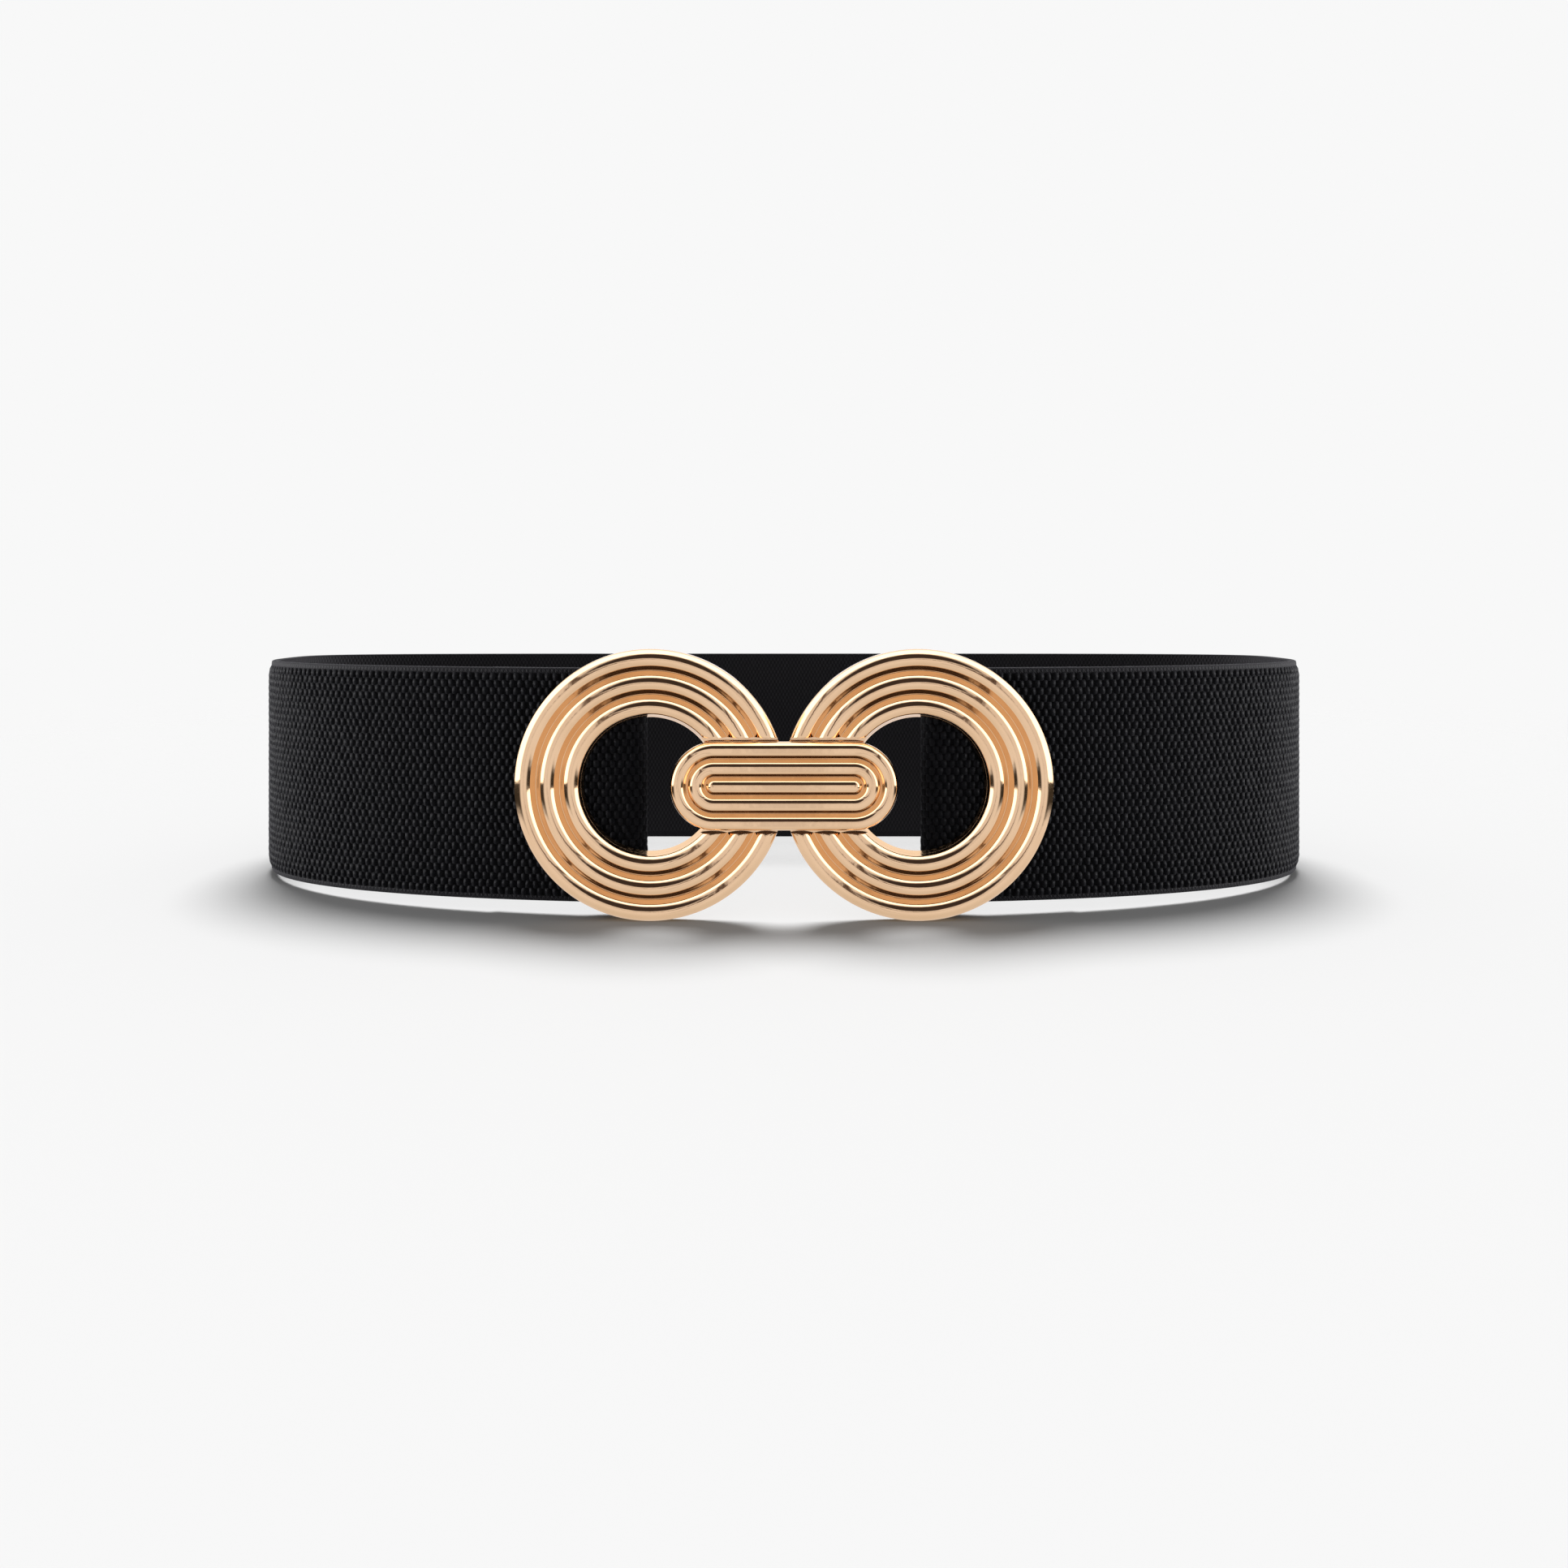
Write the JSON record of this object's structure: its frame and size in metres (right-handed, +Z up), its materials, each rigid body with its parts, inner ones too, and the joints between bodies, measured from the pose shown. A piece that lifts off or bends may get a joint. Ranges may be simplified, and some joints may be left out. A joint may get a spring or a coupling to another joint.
{
  "type": "elastic stretch belt",
  "caption": "Wide woven elastic belt, fastened into a waist loop, with a polished gold interlocking buckle of two ribbed rings and a ribbed oval link.",
  "frame": {"origin": "on the surface it stands on, under the middle of the belt's bounding box", "axes": "+X along the wearer's waist, from left to right in a front view, +Y from the buckle to the back of the loop, +Z up"},
  "size_m": [0.306, 0.1152, 0.07],
  "materials": {
    "elastic": "matte",
    "gold_metal": "polished"
  },
  "bodies": {
    "root": {"elastic_band": "elastic", "ring_left": "gold_metal", "ring_right": "gold_metal", "bar_left": "gold_metal", "bar_right": "gold_metal", "link_pill": "gold_metal", "clasp_hook": "gold_metal"}
  },
  "joints": []
}
